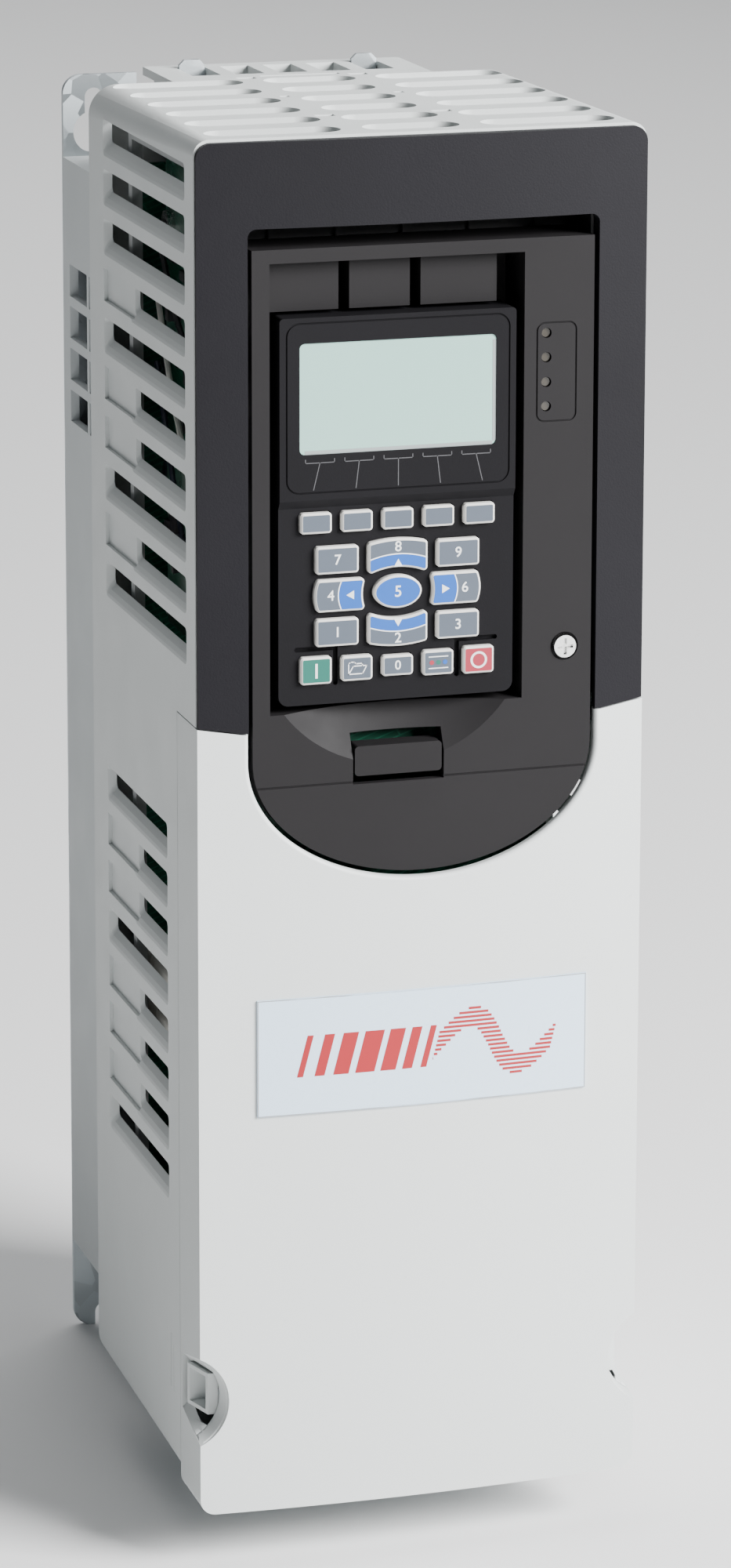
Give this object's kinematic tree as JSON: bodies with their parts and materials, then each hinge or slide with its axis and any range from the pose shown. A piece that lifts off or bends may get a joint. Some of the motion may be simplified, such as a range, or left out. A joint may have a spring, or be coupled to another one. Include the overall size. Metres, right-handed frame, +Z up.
{
  "type": "variable frequency drive",
  "caption": "Wall-mounted motor drive with louvred casing, lift-off front cover, tilting cradle and removable keypad with display.",
  "frame": {"origin": "middle of the wall plate's back face, level with the bottom of the front cover", "axes": "+X right seen from the front, +Y into the wall, +Z up"},
  "size_m": [0.1344, 0.2126, 0.4268],
  "materials": {
    "casing_grey": "fine matt moulding",
    "bezel_black": "coarse spark-eroded texture",
    "cradle_black": "satin moulding",
    "galvanised_steel": "spangled zinc",
    "heatsink_aluminium": "extruded",
    "fan_black": "satin",
    "display_glass": "clear",
    "display_panel": "pale green liquid crystal",
    "circuit_board": "solder mask",
    "module_dark": "moulded",
    "capacitor_sleeve": "shrunk sleeve",
    "ceramic_white": "glazed",
    "plated_steel": "zinc plated",
    "light_pipe": "clear moulding",
    "label_face": "printed film",
    "keypad_rubber": "silicone",
    "key_grey": "printed silicone key",
    "key_blue": "printed silicone key",
    "key_green": "printed silicone key",
    "key_red": "printed silicone key"
  },
  "bodies": {
    "drive": {"mount_plate": "galvanised_steel", "rear_shroud": "casing_grey", "heatsink": "heatsink_aluminium", "fan_frame": "fan_black", "casing_left": "casing_grey", "casing_right": "casing_grey", "casing_top": "casing_grey", "casing_frame": "casing_grey", "duct_clips": "galvanised_steel", "bezel": "bezel_black", "inner_chassis": "casing_grey", "power_board": "circuit_board", "power_module": "module_dark", "bus_capacitors": "capacitor_sleeve", "dc_choke": "module_dark", "fuse_tubes": "ceramic_white", "side_board": "circuit_board", "control_board": "circuit_board", "power_terminals": "module_dark", "inner_screws": "plated_steel", "control_terminals": "module_dark", "cable_plate": "galvanised_steel", "ground_studs": "plated_steel", "side_label": "label_face"},
    "fan": {"fan_rotor": "fan_black"},
    "cover": {"front_cover": "casing_grey", "cover_shoulder_left": "casing_grey", "cover_shoulder_right": "casing_grey", "label_plate": "label_face"},
    "latch_left": {"cover_latch_left": "casing_grey"},
    "latch_right": {"cover_latch_right": "casing_grey"},
    "cradle": {"control_pod": "cradle_black", "status_lights": "light_pipe", "pod_board": "circuit_board"},
    "cradle_screw": {"pod_screw": "plated_steel"},
    "release": {"release_tab": "cradle_black"},
    "keypad": {"keypad_case": "cradle_black", "display_lens": "display_glass", "display_module": "display_panel", "keypad_board": "circuit_board", "key_mat": "keypad_rubber"},
    "key_soft_1_cap": {"key_soft_1": "key_grey"},
    "key_soft_2_cap": {"key_soft_2": "key_grey"},
    "key_soft_3_cap": {"key_soft_3": "key_grey"},
    "key_soft_4_cap": {"key_soft_4": "key_grey"},
    "key_soft_5_cap": {"key_soft_5": "key_grey"},
    "key_7_cap": {"key_7": "key_grey"},
    "key_9_cap": {"key_9": "key_grey"},
    "key_8_cap": {"key_8": "key_grey"},
    "key_4_cap": {"key_4": "key_grey"},
    "key_6_cap": {"key_6": "key_grey"},
    "key_1_cap": {"key_1": "key_grey"},
    "key_3_cap": {"key_3": "key_grey"},
    "key_2_cap": {"key_2": "key_grey"},
    "key_folder_cap": {"key_folder": "key_grey"},
    "key_0_cap": {"key_0": "key_grey"},
    "key_controls_cap": {"key_controls": "key_grey"},
    "key_5_cap": {"key_5": "key_blue"},
    "key_start_cap": {"key_start": "key_green"},
    "key_stop_cap": {"key_stop": "key_red"}
  },
  "joints": [
    {"name": "fan_spin", "type": "hinge", "parent": "drive", "child": "fan", "pos_m": [0, -0.045, 0.03], "axis": [0, 0, 1], "continuous": true},
    {"name": "cover_pull", "type": "slide", "parent": "drive", "child": "cover", "axis": [0, -1, 0], "range_m": [0, 0.06]},
    {"name": "latch_left_press", "type": "slide", "parent": "cover", "child": "latch_left", "axis": [1, 0, 0], "range_m": [0, 0.0015], "stiffness_N_per_m": 1200},
    {"name": "latch_right_press", "type": "slide", "parent": "cover", "child": "latch_right", "axis": [-1, 0, 0], "range_m": [0, 0.0015], "stiffness_N_per_m": 1200},
    {"name": "cradle_tilt", "type": "hinge", "parent": "drive", "child": "cradle", "pos_m": [0, -0.2, 0.37], "axis": [-1, 0, 0], "range_deg": [0, 75]},
    {"name": "screw_turn", "type": "hinge", "parent": "cradle", "child": "cradle_screw", "pos_m": [0.0429, -0.205, 0.2552], "axis": [0, -1, 0], "continuous": true},
    {"name": "release_press", "type": "slide", "parent": "cradle", "child": "release", "axis": [0, 0, -1], "range_m": [0, 0.0018], "stiffness_N_per_m": 900},
    {"name": "keypad_pull", "type": "slide", "parent": "cradle", "child": "keypad", "axis": [0, -1, 0], "range_m": [0, 0.03]},
    {"name": "key_soft_1_press", "type": "slide", "parent": "keypad", "child": "key_soft_1_cap", "axis": [0, 1, 0], "range_m": [0, 0.0008], "stiffness_N_per_m": 400},
    {"name": "key_soft_2_press", "type": "slide", "parent": "keypad", "child": "key_soft_2_cap", "axis": [0, 1, 0], "range_m": [0, 0.0008], "stiffness_N_per_m": 400},
    {"name": "key_soft_3_press", "type": "slide", "parent": "keypad", "child": "key_soft_3_cap", "axis": [0, 1, 0], "range_m": [0, 0.0008], "stiffness_N_per_m": 400},
    {"name": "key_soft_4_press", "type": "slide", "parent": "keypad", "child": "key_soft_4_cap", "axis": [0, 1, 0], "range_m": [0, 0.0008], "stiffness_N_per_m": 400},
    {"name": "key_soft_5_press", "type": "slide", "parent": "keypad", "child": "key_soft_5_cap", "axis": [0, 1, 0], "range_m": [0, 0.0008], "stiffness_N_per_m": 400},
    {"name": "key_7_press", "type": "slide", "parent": "keypad", "child": "key_7_cap", "axis": [0, 1, 0], "range_m": [0, 0.0008], "stiffness_N_per_m": 400},
    {"name": "key_9_press", "type": "slide", "parent": "keypad", "child": "key_9_cap", "axis": [0, 1, 0], "range_m": [0, 0.0008], "stiffness_N_per_m": 400},
    {"name": "key_8_press", "type": "slide", "parent": "keypad", "child": "key_8_cap", "axis": [0, 1, 0], "range_m": [0, 0.0008], "stiffness_N_per_m": 400},
    {"name": "key_4_press", "type": "slide", "parent": "keypad", "child": "key_4_cap", "axis": [0, 1, 0], "range_m": [0, 0.0008], "stiffness_N_per_m": 400},
    {"name": "key_6_press", "type": "slide", "parent": "keypad", "child": "key_6_cap", "axis": [0, 1, 0], "range_m": [0, 0.0008], "stiffness_N_per_m": 400},
    {"name": "key_1_press", "type": "slide", "parent": "keypad", "child": "key_1_cap", "axis": [0, 1, 0], "range_m": [0, 0.0008], "stiffness_N_per_m": 400},
    {"name": "key_3_press", "type": "slide", "parent": "keypad", "child": "key_3_cap", "axis": [0, 1, 0], "range_m": [0, 0.0008], "stiffness_N_per_m": 400},
    {"name": "key_2_press", "type": "slide", "parent": "keypad", "child": "key_2_cap", "axis": [0, 1, 0], "range_m": [0, 0.0008], "stiffness_N_per_m": 400},
    {"name": "key_folder_press", "type": "slide", "parent": "keypad", "child": "key_folder_cap", "axis": [0, 1, 0], "range_m": [0, 0.0008], "stiffness_N_per_m": 400},
    {"name": "key_0_press", "type": "slide", "parent": "keypad", "child": "key_0_cap", "axis": [0, 1, 0], "range_m": [0, 0.0008], "stiffness_N_per_m": 400},
    {"name": "key_controls_press", "type": "slide", "parent": "keypad", "child": "key_controls_cap", "axis": [0, 1, 0], "range_m": [0, 0.0008], "stiffness_N_per_m": 400},
    {"name": "key_5_press", "type": "slide", "parent": "keypad", "child": "key_5_cap", "axis": [0, 1, 0], "range_m": [0, 0.0008], "stiffness_N_per_m": 400},
    {"name": "key_start_press", "type": "slide", "parent": "keypad", "child": "key_start_cap", "axis": [0, 1, 0], "range_m": [0, 0.0008], "stiffness_N_per_m": 400},
    {"name": "key_stop_press", "type": "slide", "parent": "keypad", "child": "key_stop_cap", "axis": [0, 1, 0], "range_m": [0, 0.0008], "stiffness_N_per_m": 400}
  ]
}
